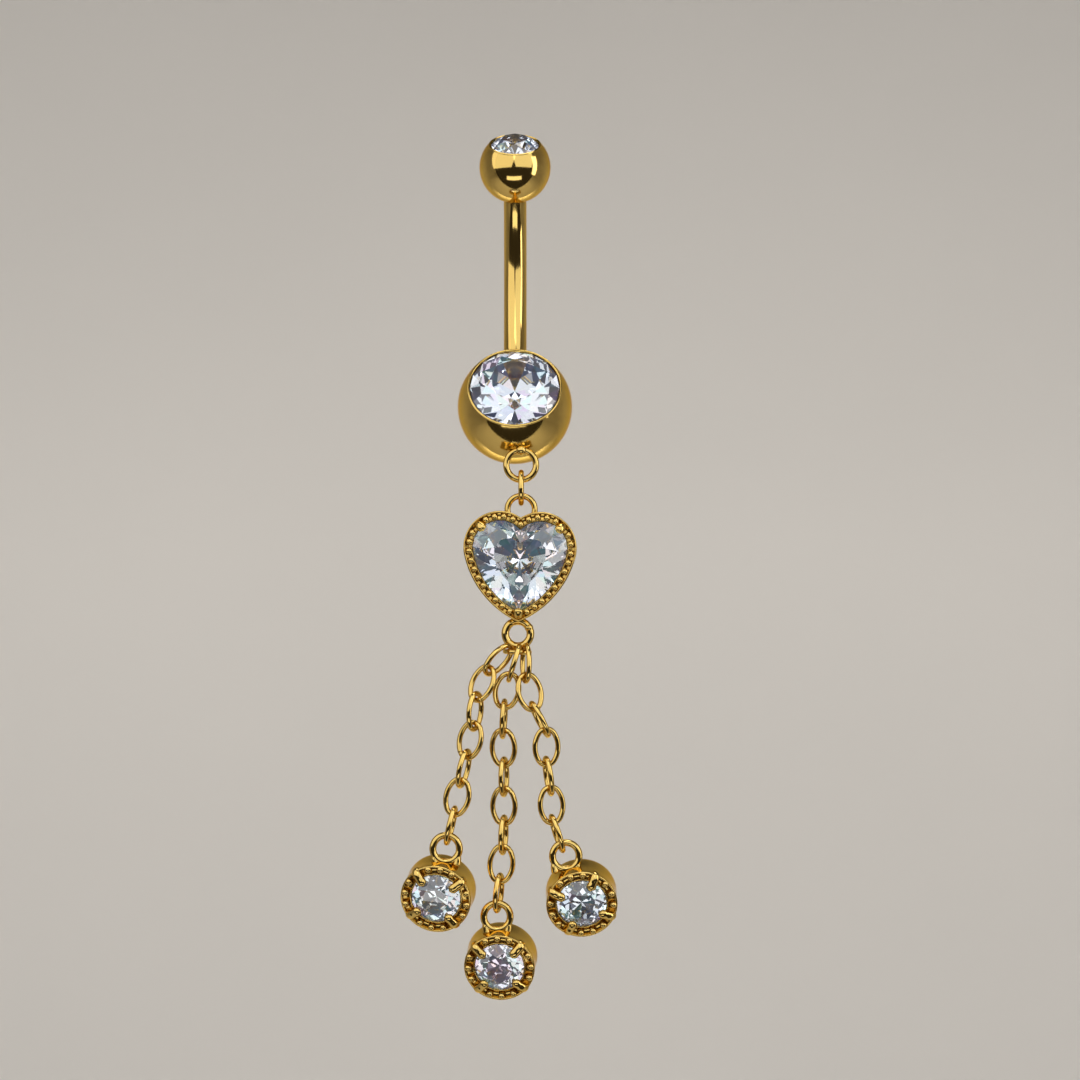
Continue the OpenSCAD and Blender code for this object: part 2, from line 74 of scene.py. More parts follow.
class MetalSizes(bpy.types.PropertyGroup):
    """Wires and rims of the polished metal, in millimetres."""

    link_length: bpy.props.FloatProperty(
        name="Link length", description="Outer length of a chain link in mm",
        default=2.82, min=1.5, max=5.0)
    link_width: bpy.props.FloatProperty(
        name="Link width", description="Outer width of a chain link in mm",
        default=1.95, min=1.0, max=4.0)
    link_wire: bpy.props.FloatProperty(
        name="Link wire", description="Wire of a chain link in mm",
        default=0.36, min=0.2, max=0.6)
    connector_length: bpy.props.FloatProperty(
        name="Connector length", description="Outer length of the connector link in mm",
        default=2.5, min=1.5, max=5.0)
    connector_width: bpy.props.FloatProperty(
        name="Connector width", description="Outer width of the connector link in mm",
        default=1.9, min=1.0, max=4.0)
    connector_wire: bpy.props.FloatProperty(
        name="Connector wire", description="Wire of the connector link in mm",
        default=0.38, min=0.2, max=0.6)
    rim_wire: bpy.props.FloatProperty(
        name="Ball rim", description="Roundness of the bright rim that holds a ball's stone in mm",
        default=0.17, min=0.05, max=0.4)


class FinishColours(bpy.types.PropertyGroup):
    """Colours and gloss of the plated metal and the stones."""

    gold: bpy.props.FloatVectorProperty(
        name="Gold", description="Colour of the polished plating",
        subtype="COLOR", size=3, default=(0.84, 0.585, 0.175), min=0.0, max=1.0)
    # Painted shade: this colour is mixed in where ambient occlusion finds hollows, and in random
    # clouds of thin plating.
    painted_shade_and_thin_gold: bpy.props.FloatVectorProperty(
        name="Deep gold", description="Colour of the plating in hollows and thin places",
        subtype="COLOR", size=3, default=(0.50, 0.31, 0.07), min=0.0, max=1.0)
    polish: bpy.props.FloatProperty(
        name="Polish", description="Roughness of the plating where it is best polished",
        subtype="FACTOR", default=0.09, min=0.0, max=1.0)
    stone: bpy.props.FloatVectorProperty(
        name="Stone", description="Body colour of the clear stones",
        subtype="COLOR", size=3, default=(0.94, 0.975, 1.0), min=0.0, max=1.0)
    # Painted glow: the strength of the light painted into each facet's emission, a stand-in for
    # light the stone gives back.
    painted_glow_strength: bpy.props.FloatProperty(
        name="Returned light", description="Faint light that the facets give back",
        subtype="FACTOR", default=0.045, min=0.0, max=1.0)
    # The colour flashes are painted: random tints mixed into each facet's base colour.
    fire: bpy.props.FloatProperty(
        name="Fire", description="Strength of the colour flashes in the facets",
        subtype="FACTOR", default=0.85, min=0.0, max=1.0)


class StudioValues(bpy.types.PropertyGroup):
    """Camera and backdrop of the studio."""

    distance: bpy.props.FloatProperty(
        name="Camera distance", description="Distance from the camera to the origin's plane",
        subtype="DISTANCE", default=0.215, min=0.05, max=2.0)
    field: bpy.props.FloatProperty(
        name="Field", description="Width of the picture at the ring",
        subtype="DISTANCE", default=0.0766, min=0.02, max=1.0)
    aside: bpy.props.FloatProperty(
        name="Aside", description="How far the picture's middle is to the right of the bar",
        subtype="DISTANCE", default=0.00175, min=-0.1, max=0.1)
    height: bpy.props.FloatProperty(
        name="Height", description="Height of the picture's middle",
        subtype="DISTANCE", default=-0.01836, min=-0.2, max=0.2)
    backdrop: bpy.props.FloatVectorProperty(
        name="Backdrop", description="Colour of the floor and backdrop",
        subtype="COLOR", size=3, default=(0.80, 0.77, 0.73), min=0.0, max=1.0)


# ---------------------------------------------------------------- shader maths

class Sock:
    """A shader value that adds its own Math nodes when it is used in an expression."""

    def __init__(self, sheet, socket):
        self.sheet, self.socket = sheet, socket

    def _math(self, operation, a, b=0.0):
        return self.sheet.node("ShaderNodeMath", {"operation": operation}, {0: a, 1: b})

    def __add__(self, other): return self._math("ADD", self, other)
    def __radd__(self, other): return self._math("ADD", other, self)
    def __sub__(self, other): return self._math("SUBTRACT", self, other)
    def __rsub__(self, other): return self._math("SUBTRACT", other, self)
    def __mul__(self, other): return self._math("MULTIPLY", self, other)
    def __rmul__(self, other): return self._math("MULTIPLY", other, self)
    def __pow__(self, other): return self._math("POWER", self, other)

    def clip(self):
        """The value held between 0 and 1."""
        return self.sheet.node("ShaderNodeClamp", {}, {0: self, 1: 0.0, 2: 1.0})


class Sheet:
    """A material's node tree."""

    def __init__(self, name):
        self.material = bpy.data.materials.new(name)
        self.material.use_nodes = True
        self.tree = self.material.node_tree
        self.shader = self.tree.nodes["Principled BSDF"]

    def node(self, kind, settings=None, values=None, out=0):
        """Adds a node, its settings first and then the values or links of its sockets."""
        made = self.tree.nodes.new(kind)
        for key, value in (settings or {}).items():
            if key == "stops":
                ramp = made.color_ramp
                while len(ramp.elements) < len(value):
                    ramp.elements.new(0.5)
                for element, (place, colour) in zip(ramp.elements, value):
                    element.position, element.color = place, rgba(colour)
            else:
                setattr(made, key, value)
        for key, value in (values or {}).items():
            self.feed(made.inputs[key], value)
        return Sock(self, made.outputs[out])

    def feed(self, socket, value):
        """Links a shader value to a socket, or sets the socket to a plain value."""
        if isinstance(value, Sock):
            self.tree.links.new(value.socket, socket)
        else:
            socket.default_value = value

    def mix(self, factor, a, b):
        """Colour a where the factor is 0 and b where it is 1."""
        return self.node("ShaderNodeMix", {"data_type": "RGBA"}, {0: factor, 6: a, 7: b}, out=2)

    def set(self, **values):
        """Feeds sockets of the main shader by name, with _ for a space."""
        for key, value in values.items():
            self.feed(self.shader.inputs[key.replace("_", " ")], value)


def rgba(colour, k=1.0):
    """A colour times k, with full alpha."""
    return (colour[0] * k, colour[1] * k, colour[2] * k, 1.0)


# Scales are in noise cells to the metre, and the hollow's reach, how far the painted shade in
# hollows looks, is in metres.
CLOUDS = {"Scale": 420.0, "Detail": 3.0, "Roughness": 0.55}
GRAIN = {"Scale": 5200.0, "Detail": 2.0}
POLISHING_LINES = {"Scale": (9000.0, 9000.0, 1400.0), "Rotation": (0.4, 0.5, 0.3)}
HOLLOW_REACH = 0.0006
GRAIN_DEPTH = 0.00001
EDGE_GOLD = (0.88, 0.68, 0.36)

STONE_IOR = 2.15
# Painted colour flash and painted glow of a facet, by the facet's own random number from 0 to 1.
FACET_PAINTED_FIRE = [
    (0.0, (0.86, 0.94, 1.0)), (0.34, (0.84, 0.90, 1.0)), (0.46, (0.74, 0.79, 1.0)),
    (0.58, (0.96, 0.98, 1.0)), (0.72, (0.62, 0.78, 1.0)), (0.82, (0.60, 0.98, 0.94)),
    (0.90, (1.0, 0.74, 0.60)), (1.0, (0.82, 0.64, 1.0))]
# Painted glow of a facet, given off by its emission, picked by the facet's own random number.
FACET_PAINTED_GLOWS = [
    (0.0, (0.10, 0.11, 0.14)), (0.40, (0.45, 0.48, 0.62)), (0.55, (0.05, 0.05, 0.07)),
    (0.70, (0.30, 0.44, 1.0)), (0.80, (0.20, 0.85, 0.75)), (0.88, (1.0, 1.0, 1.0)),
    (1.0, (0.80, 0.40, 0.85))]


def gold_finish():
    """Polished gold plating: a warm tone darkened by painted shade in hollows and by soft clouds of
    thin plating, which are all a little duller too, with fine grain and polishing lines."""
    look = bpy.context.scene.finish_colours
    s = Sheet("polished_gold")
    place = s.node("ShaderNodeTexCoord", out=3)
    clouds = s.node("ShaderNodeTexNoise", {}, {"Vector": place, **CLOUDS})
    grain = s.node("ShaderNodeTexNoise", {}, {"Vector": place, **GRAIN})
    wipe = s.node("ShaderNodeMapping", {}, {"Vector": place, **POLISHING_LINES})
    lines = s.node("ShaderNodeTexNoise", {}, {"Vector": wipe, "Scale": 1.0, "Detail": 2.0})
    open_air = s.node("ShaderNodeAmbientOcclusion", {"samples": 6},
                      {"Distance": HOLLOW_REACH}, out=1)
    shade = ((clouds - 0.42) * 1.6).clip()
    # Painted shade: the darker gold comes in three quarters by ambient occlusion in hollows and one
    # quarter by the random clouds.
    deep = (0.25 * shade + 0.75 * (1.0 - open_air ** 1.4)).clip()
    s.set(Base_Color=s.mix(deep, rgba(look.gold), rgba(look.painted_shade_and_thin_gold)), Metallic=1.0,
          Specular_Tint=rgba(EDGE_GOLD),
          Roughness=(look.polish + 0.05 * shade + 0.10 * (1.0 - open_air)).clip())
    s.set(Normal=s.node("ShaderNodeBump", {}, {
        "Strength": 0.10, "Distance": GRAIN_DEPTH, "Height": 0.5 * grain + 0.5 * lines}))
    return s.material


def stone_finish():
    """Clear cut stone: strong refraction, a faint cool body and painted colour flashes, a random
    tint in each facet for its fire. Each facet also gives off a faint painted glow, a stand-in for
    the many small images in a real stone."""
    look = bpy.context.scene.finish_colours
    s = Sheet("clear_stone")
    spark = s.node("ShaderNodeAttribute", {"attribute_name": "spark"}, out=2)
    # Painted colour flashes: a random tint for each facet, mixed into the stone's body colour by
    # fire.
    painted_fire = s.node("ShaderNodeValToRGB", {"stops": FACET_PAINTED_FIRE}, {0: spark})
    # Painted glow: each facet's emission colour, a stand-in for the small bright images in a real
    # stone.
    painted_glow = s.node("ShaderNodeValToRGB", {"stops": FACET_PAINTED_GLOWS}, {0: spark})
    s.set(Base_Color=s.mix(look.fire, rgba(look.stone), painted_fire), Roughness=0.0, IOR=STONE_IOR,
          Transmission_Weight=1.0, Emission_Color=painted_glow, Emission_Strength=look.painted_glow_strength)
    return s.material


def board_finish(colour, roughness):
    """Matt painted board with a faint unevenness of tone."""
    s = Sheet("pale_board")
    place = s.node("ShaderNodeTexCoord", out=3)
    tone = s.node("ShaderNodeTexNoise", {}, {"Vector": place, "Scale": 9.0, "Detail": 2.0})
    s.set(Base_Color=s.mix(tone, rgba(colour, 0.97), rgba(colour, 1.03)), Roughness=roughness)
    return s.material


# ---------------------------------------------------------------- surfaces

Z_AXIS = np.array([0.0, 0.0, 1.0])
Y_AXIS = np.array([0.0, 1.0, 0.0])


def unit(v):
    """Each vector at length 1."""
    return v / np.linalg.norm(v, axis=-1, keepdims=True)


def round_angles(count):
    """Angles of count equal steps round a circle."""
    return np.linspace(0, 2 * np.pi, count, endpoint=False)


def at_height(flat, height):
    """Flat points (x, y) as points (x, y, height)."""
    return np.concatenate([flat, np.full((len(flat), 1), float(height))], 1)


def grid_faces(rows, cols, close_rows=True, close_cols=True):
    """Quads of a grid of rows by cols points; either way may close on itself."""
    i, j = np.meshgrid(np.arange(rows if close_rows else rows - 1),
                       np.arange(cols if close_cols else cols - 1), indexing="ij")
    k, m = (i + 1) % rows, (j + 1) % cols
    return np.stack([i * cols + j, k * cols + j, k * cols + m, i * cols + m], -1).reshape(-1, 4)


def end_fans(rings, sides, first, last):
    """Triangles that close a grid of rings by sides points with one point at each end."""
    j = np.arange(sides)
    k = (j + 1) % sides
    edge = (rings - 1) * sides
    return (np.stack([np.full(sides, first), j, k], -1),
            np.stack([np.full(sides, last), edge + k, edge + j], -1))


def capped(rows, start, end):
    """Skin over rings of points, closed by one point at each end; rows is rings x sides x 3."""
    rings, sides = rows.shape[:2]
    n = rings * sides
    first, last = end_fans(rings, sides, n, n + 1)
    faces = grid_faces(rings, sides, close_rows=False).tolist() + first.tolist() + last.tolist()
    return np.concatenate([rows.reshape(-1, 3), [start, end]]), faces


def tube(path, radius, across, sides=20):
    """Round wire along a closed flat path: at each point a circle in the plane of the path's
    outward side and the flat's normal.
    Point (i, v) = path i + radius i x (cos v x outward side + sin v x normal)."""
    along = unit(np.roll(path, -1, 0) - np.roll(path, 1, 0))
    out = unit(np.cross(along, across))
    v = round_angles(sides)
    r = np.broadcast_to(radius, len(path))[:, None, None]
    ring = np.cos(v)[:, None] * out[:, None] + np.sin(v)[:, None] * across
    return (path[:, None] + r * ring).reshape(-1, 3), grid_faces(len(path), sides)


def from_joint(count, joint):
    """Signed way from a ring's joint to each of its count points, as a share of the way round."""
    return (np.arange(count) / count - joint + 0.5) % 1.0 - 0.5


def wire_ring(centre, across, wire, normal, joint):
    """Round ring of round wire about a centre, square to its normal, with a faint waist at its
    closed joint, a share of the way round.
    Path point a = centre + middle radius x (cos a x one side + sin a x the other)."""
    count, waist, waist_reach = 72, 0.08, 0.01
    normal = np.asarray(normal, float)
    x = unit(np.cross(normal, [1.0, 0, 0] if abs(normal[0]) < 0.5 else [0, 1.0, 0]))
    y = np.cross(normal, x)
    a = 2 * np.pi * (np.arange(count) / count)
    path = np.asarray(centre) + (across - wire) / 2 * (np.cos(a)[:, None] * x
                                                       + np.sin(a)[:, None] * y)
    off = from_joint(count, joint)
    return tube(path, wire / 2 * (1 - waist * np.exp(-(off / waist_reach) ** 2)), normal, 24)


def oval_wire(length, width, wire, joint):
    """Oval link in its own width, thickness and length directions: two tight end arcs and two
    flat side arcs, end to end at the same tangent, each point an arc's middle + its radius x
    (cos angle, 0, sin angle). The wire thins a little at the joint, a share of the way round,
    and swells beside it where the solder sits, both by bell curves of the way from the joint."""
    end_share, waist, waist_reach = 0.78, 0.10, 0.006
    swell, swell_at, swell_reach = 0.03, 0.022, 0.012
    a, b = (length - wire) / 2, (width - wire) / 2
    end_r = end_share * b
    side_r = ((a - end_r) ** 2 + b * b - end_r ** 2) / (2 * (b - end_r))
    turn = math.atan2(a - end_r, side_r - b)
    end = np.linspace(turn, math.pi - turn, 26, endpoint=False)
    side = np.linspace(-turn, turn, 22, endpoint=False)

    def arc(r, angle, x, z):
        return np.stack([x + r * np.cos(angle), np.zeros_like(angle), z + r * np.sin(angle)], -1)

    path = np.concatenate([arc(side_r, side, b - side_r, 0), arc(end_r, end, 0, a - end_r),
                           arc(side_r, side + math.pi, side_r - b, 0),
                           arc(end_r, end + math.pi, 0, end_r - a)])
    off = from_joint(len(path), joint)
    radius = wire / 2 * (1 - waist * np.exp(-(off / waist_reach) ** 2)
                         + swell * np.exp(-((np.abs(off) - swell_at) / swell_reach) ** 2))
    return tube(path, radius, Y_AXIS)


def turned(profile, count=96):
    """Surface of revolution: the closed profile of (radius, height) points is carried round +Z.
    Point (i, k) = (radius k x cos a, radius k x sin a, height k), with a = i of count."""
    a = round_angles(count)
    ring = np.stack([np.cos(a), np.sin(a)], -1)
    flat = ring[:, None] * profile[None, :, :1]
    height = np.broadcast_to(profile[None, :, 1:], (count, len(profile), 1))
    return np.concatenate([flat, height], -1).reshape(-1, 3), grid_faces(count, len(profile))


def pearls(centres, axes, radius, squash=1.0, rows=9, cols=14):
    """One round bead at each centre, its poles along the bead's own axis: latitude u and
    longitude v give centre + radius x (sin u cos v x side + sin u sin v x other side
    + squash x cos u x axis)."""
    centres, z = np.atleast_2d(centres), unit(np.atleast_2d(axes))
    u, v = np.linspace(0, np.pi, rows)[1:-1], round_angles(cols)
    ball = np.stack([np.sin(u)[:, None] * np.cos(v), np.sin(u)[:, None] * np.sin(v),
                     np.broadcast_to(squash * np.cos(u)[:, None], (len(u), cols))], -1)
    ball = np.concatenate([ball.reshape(-1, 3), [[0, 0, squash], [0, 0, -squash]]]) * radius
    x = unit(np.cross(z, np.where(np.abs(z[:, :1]) < 0.8, [[1.0, 0, 0]], [[0, 1.0, 0]])))
    y = np.cross(z, x)
    points = (centres[:, None] + ball[None, :, :1] * x[:, None] + ball[None, :, 1:2] * y[:, None]
              + ball[None, :, 2:] * z[:, None])
    n = len(ball)
    parts = (grid_faces(len(u), cols, close_rows=False), *end_fans(len(u), cols, n - 2, n - 1))
    shift = n * np.arange(len(centres))[:, None, None]
    faces = [tuple(f) for part in parts
             for f in (part[None] + shift).reshape(-1, part.shape[1]).tolist()]
    return points.reshape(-1, 3), faces


def finger(path, radii, across, wide=1.0, sides=14):
    """Cast claw: an open path of points carries ellipses that are a share wider across than they
    are thick, and both ends close to a point.
    Ring i = path i + radius i x (cos v x side + wide x sin v x across)."""
    foot, tip = 0.3, 0.45
    along = unit(np.gradient(path, axis=0))
    side = unit(np.cross(along, across))
    v = round_angles(sides)
    ring = np.cos(v)[:, None] * side[:, None] + wide * np.sin(v)[:, None] * across
    return capped(path[:, None] + radii[:, None, None] * ring,
                  path[0] - foot * radii[0] * along[0], path[-1] + tip * radii[-1] * along[-1])


def smooth_path(knots, count):
    """Rounded curve through knots of (x, y) pairs: each coordinate is a cubic through four
    neighbours, weighed by the rows of a Catmull-Rom matrix."""
    knots = np.asarray(knots, float)
    p = np.concatenate([[2 * knots[0] - knots[1]], knots, [2 * knots[-1] - knots[-2]]])
    t = np.linspace(0, len(knots) - 1 - 1e-9, count)
    i, f = t.astype(int), (t % 1)[:, None]
    a, b, c, d = p[i], p[i + 1], p[i + 2], p[i + 3]
    return 0.5 * (2 * b + (c - a) * f + (2 * a - 5 * b + 4 * c - d) * f ** 2
                  + (3 * b - a - 3 * c + d) * f ** 3)


def across_plane(flat):
    """Rows of (x, z) as points of the upright plane through the ring."""
    return np.stack([flat[:, 0], np.zeros(len(flat)), flat[:, 1]], 1)


def arc_points(x, z, r, start, stop, n):
    """Points (x + r cos a, z + r sin a) on an arc, angles in degrees."""
    a = np.radians(np.linspace(start, stop, n))
    return np.stack([x + r * np.cos(a), z + r * np.sin(a)], 1)


def joined(*surfaces):
    """Several surfaces as one list of points and one of faces."""
    points, faces, start = [], [], 0
    for p, f in surfaces:
        rows = f.tolist() if isinstance(f, np.ndarray) else f
        faces += [tuple(i + start for i in row) for row in rows]
        points.append(p)
        start += len(p)
    return np.concatenate(points), faces


def placed(surface, seat):
    """A surface in a seat's frame moved to the ring's frame: origin + x, y and z along the
    seat's three directions."""
    points, faces = surface
    return seat["at"] + points @ seat["axes"], faces


def new_object(name, points, faces, material, smooth=True):
    """A mesh object in the scene, its finished shape in its own points."""
    mesh = bpy.data.meshes.new(name)
    mesh.from_pydata(points.tolist(), [], faces)
    mesh.polygons.foreach_set("use_smooth", np.full(len(mesh.polygons), smooth))
    mesh.materials.append(material)
    mesh.update()
    made = bpy.data.objects.new(name, mesh)
    bpy.context.scene.collection.objects.link(made)
    return made


def piece(name, surface, body, finish, nodes=(), smooth=True):
    """Puts a surface given in millimetres into an object that rides on a body and stands for
    CAD nodes."""
    points, faces = surface
    rows = faces.tolist() if isinstance(faces, np.ndarray) else faces
    made = new_object(name, points * MM, rows, finished(finish), smooth)
    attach(made, body)
    if nodes:
        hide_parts(*nodes)
    return made


def gold_piece(name, surface, body, nodes=()):
    """A piece of polished gold."""
    return piece(name, surface, body, "polished_gold", nodes)


def crease(made, degrees=42):
    """Keeps the edges that turn by more than the angle crisp."""
    made.data.set_sharp_from_angle(angle=math.radians(degrees))


def finished(name):
    """The finish of that name, made once."""
    made = bpy.data.materials.get(name)
    return made or {"polished_gold": gold_finish, "clear_stone": stone_finish}[name]()


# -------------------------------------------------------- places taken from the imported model

def triangles(node):
    """Corners of a CAD node's triangles in millimetres, as an array of n x 3 x 3."""
    mesh = NODES[node].data
    mesh.calc_loop_triangles()
    co = np.empty(len(mesh.vertices) * 3, np.float32)
    mesh.vertices.foreach_get("co", co)
    at = np.empty(len(mesh.loop_triangles) * 3, np.int32)
    mesh.loop_triangles.foreach_get("vertices", at)
    return co.reshape(-1, 3).astype(float)[at].reshape(-1, 3, 3) / MM


def crossed(t):
    """For each triangle a vector square to it, twice its area long."""
    return np.cross(t[:, 1] - t[:, 0], t[:, 2] - t[:, 0])


def top_of(node):
    """Highest point of a CAD node."""
    points = triangles(node).reshape(-1, 3)
    return points[points[:, 2].argmax()]


def seat_point(seat, point):
    """A point of the ring's frame in a seat's own frame."""
    return seat["axes"] @ (point - seat["at"])


def flat_seat(node):
    """Seat of a link: its middle, and its width, thickness and length directions, from the
    spread of its skin."""
    t = triangles(node)
    area = np.linalg.norm(crossed(t), axis=1)[:, None]
    mid = t.mean(1)
    at = (area * mid).sum(0) / area.sum()
    _, way = np.linalg.eigh(((mid - at) * area).T @ (mid - at))
    length, width = way[:, 2], way[:, 1]
    return {"at": at, "axes": np.stack([width, np.cross(length, width), length])}


def stone_seat(node, up, crown=None):
    """Seat of a cut stone: the point of its axis level with the girdle's front edge, and its
    side, top and front directions. The table is the largest flat, the deepest point marks the
    axis, and the table corner nearest to up gives the top."""
    same_way = 0.9995
    t = triangles(node)
    cross = crossed(t)
    area, way = np.linalg.norm(cross, axis=1), unit(cross)
    largest = ((way @ way.T > same_way) * area).sum(1).argmax()
    table = (way @ way[largest]) > same_way
    front = unit(cross[table].sum(0))
    corners, points = t[table].reshape(-1, 3), t.reshape(-1, 3)
    deep = points[(points @ front).argmin()]
    rise = (corners[0] - deep) @ front
    spokes = corners - deep
    spokes = spokes - np.outer(spokes @ front, front)
    top = unit(spokes)[(unit(spokes) @ unit(np.asarray(up, float))).argmax()]
    width = 2 * np.linalg.norm(spokes, axis=1).max() / TABLE
    at = deep + front * (rise - (CROWN * width if crown is None else crown))
    return {"at": at, "axes": np.stack([np.cross(top, front), top, front]), "width": width}


def heart_seat():
    """Seat of the heart: the point between the two lobes' centres, level with the girdle."""
    seat = stone_seat("heart_stone", Z_AXIS, HEART_CROWN)
    return {**seat, "at": seat["at"] + HEART_LOW * seat["axes"][1]}


def drop_seat(drop):
    """Seat of a drop: its stone's, with the top toward the drop's bail."""
    low = triangles(f"{drop}_stone").reshape(-1, 3).mean(0)
    return stone_seat(f"{drop}_stone", top_of(drop) - low)


# ---------------------------------------------------------------- cut stones

# Shares of the stone's width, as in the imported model; the girdle is in millimetres.
TABLE, CROWN, PAVILION = 0.56, 0.16, 0.40
GIRDLE = 0.12
# The heart in millimetres: lobes about centres aside, and flatter flanks from an angle onwards.
LOBE, LOBE_X, FLANK, FLANK_TURN = 1.85, 1.39, 6.0, 14.0
HEART_LOW = 0.45 * LOBE
HEART_CROWN, HEART_PAVILION = 0.85, 2.1
ROUND_STEPS, HEART_STEPS = 16, 16


def heart_side(g, t):
    """Right half of the heart's outline grown by g, t from 0 at the dip to 1 at the point, and
    the outward angle there. A lobe arc of radius lobe + g runs into a flatter arc of radius
    flank + g about a centre on the same tangent."""
    g, t = np.broadcast_arrays(np.asarray(g, float), np.asarray(t, float))
    turn = math.radians(FLANK_TURN)
    fx, fy = LOBE_X - (FLANK - LOBE) * math.cos(turn), (FLANK - LOBE) * math.sin(turn)
    dip, tip = np.arccos(-LOBE_X / (LOBE + g)), np.arccos(-fx / (FLANK + g))
    lobe_len = (LOBE + g) * (dip + turn)
    s = t * (lobe_len + (FLANK + g) * (tip - turn))
    on_lobe = s < lobe_len
    a = np.where(on_lobe, dip - s / (LOBE + g), -turn - (s - lobe_len) / (FLANK + g))
    r = np.where(on_lobe, LOBE, FLANK) + g
    return np.stack([np.where(on_lobe, LOBE_X, fx) + r * np.cos(a),
                     np.where(on_lobe, 0.0, fy) + r * np.sin(a)], -1), a


def whole_heart(half):
    """Rows of a right half, dip to point, with their mirror images back to the dip."""
    return np.concatenate([half, half[-2:0:-1] * [-1, 1]])


def cut_stone(outline, middle, table, crown, half, half_rise, pavilion, low, low_fall):
    """Brilliant over any outline. A row of points is the outline drawn in towards the middle and
    moved along the axis: middle + share x (outline - middle), at a height. Table corners lie
    over the even points, crown and pavilion breaks over the odd ones; the girdle's two edges
    and the deepest point close it."""
    n = len(outline)
    h = n // 2
    even, odd = outline[0::2], outline[1::2]

    def row(points, k, z):
        return at_height(middle + k * (points - middle), z)

    points = np.concatenate([
        row(even, table, crown), row(odd, half, half_rise), row(outline, 1.0, 0.0),
        row(outline, 1.0, -GIRDLE), row(odd, low, -GIRDLE - low_fall),
        [[middle[0], middle[1], -GIRDLE - pavilion]]])
    # Points of the table and of the crown's and pavilion's breaks, and the first point of each
    # of the girdle's edges and the deepest point.
    i, k = np.arange(h), np.arange(n)
    top, upper, lower = i, h + i, 2 * h + 2 * n + i
    front, back, tip = 2 * h, 2 * h + n, 3 * h + 2 * n
    after, before = (i + 1) % h, (i - 1) % h
    here, beside, beyond = 2 * i, 2 * i + 1, (2 * i + 2) % n
    parts = (
        np.stack([top[after], top, upper], 1),
        np.stack([top, upper[before], front + here, upper], 1),
        np.stack([upper, front + here, front + beside], 1),
        np.stack([upper, front + beside, front + beyond], 1),
        np.stack([front + (k + 1) % n, front + k, back + k, back + (k + 1) % n], 1),
        np.stack([lower, back + beside, back + here], 1),
        np.stack([lower, back + beyond, back + beside], 1),
        np.stack([np.full(h, tip), lower, back + here, lower[before]], 1))
    facets = [top.tolist()] + [facet for part in parts for facet in part.tolist()]
    return points, [tuple(facet[::-1]) for facet in facets]


def round_cut(width):
    """Round brilliant of that width: outline point a = half the width x (cos a, sin a), from the
    top round, with a table corner at the top. The breaks lie on the main facets' planes."""
    low, break_out = 0.55, 1.03
    a = math.pi / 2 - np.arange(ROUND_STEPS) * 2 * math.pi / ROUND_STEPS
    outline = width / 2 * np.stack([np.cos(a), np.sin(a)], -1)
    half = 0.5 * (TABLE + 1) * break_out
    inset = math.cos(2 * math.pi / ROUND_STEPS)
    rise = CROWN * width * (1 - half * inset) / (1 - TABLE)
    fall = PAVILION * width * (1 - low * inset)
    return cut_stone(outline, np.zeros(2), TABLE, CROWN * width, half, rise,
                     PAVILION * width, low, fall)


def heart_cut():
    """Heart brilliant, its outline drawn in towards a point a little below the lobes' centres."""
    low, break_share = 0.5, 0.52
    outline = whole_heart(heart_side(0.0, np.arange(HEART_STEPS + 1) / HEART_STEPS)[0])
    return cut_stone(outline, np.array([0.0, -HEART_LOW]), TABLE, HEART_CROWN, 0.5 * (1 + TABLE),
                     break_share * HEART_CROWN, HEART_PAVILION, low, break_share * HEART_PAVILION)


class RING_OT_cut_stones(bpy.types.Operator):
    """Round and heart brilliants in place of the plain stones, with a painted colour flash and a
    painted glow in each facet
    """
    bl_idname = "ring.cut_stones"
    bl_label = "Cut stones"

    def execute(self, context):
        for seed, node in enumerate(STONES, FIRST_SEED):
            if node == "heart_stone":
                seat, surface = heart_seat(), heart_cut()
            else:
                seat = (drop_seat(node.removesuffix("_stone")) if "drop" in node
                        else stone_seat(node, Z_AXIS))
                surface = round_cut(seat["width"])
            made = piece(f"{node}_cut", placed(surface, seat), BODY_OF[node], "clear_stone",
                         [node], smooth=False)
            # One number from 0 to 1 for each facet, always the same for the same seed; it picks the
            # facet's painted colour flash and glow.
            spark = np.random.default_rng(seed).random(len(surface[1])).astype(np.float32)
            made.data.attributes.new("spark", "FLOAT", "FACE").data.foreach_set("value", spark)
        return {"FINISHED"}


# ---------------------------------------------------------------- settings

# Millimetres: clearance round a stone, ledge under it, and the channel that holds the beads.
GAP, LEDGE, WALL, CHANNEL = 0.03, 0.2, 0.15, 0.3
BACK = 0.5 * CHANNEL
LEDGE_REACH = LEDGE + 2.5 * GAP
COLLAR, CHANNEL_DIP, WAIST, BACK_EDGE = 0.05, 0.05, 0.05, 0.3
BEZEL_STEPS = 80

# Beads lie in a row of equal steps, where a claw takes the place of one; each bead's middle lies
# off the channel's floor, or in from a drop's edge and back from its lip, by shares of its width.
HEART_BORDER, HEART_DEPTH, HEART_BEADS, HEART_CLAW = 0.65, 2.6, 17, 5
BEAD, BEAD_UP = 0.48, 0.45
DROP_BORDER, DROP_DEPTH, DROP_STEPS, DROP_CLAW_STEP = 0.74, 2.4, 16, 4
DROP_BEAD, DROP_BEAD_IN, DROP_BEAD_DOWN = 0.52, 0.52, 0.27
BAIL, BAIL_WIRE, LOW_BAIL, LOW_WIRE = 2.3, 0.42, 2.27, 0.54
LEVEL_RING, LEVEL_WIRE, DROP_BAIL, DROP_WIRE = 2.0, 0.34, 2.3, 0.48

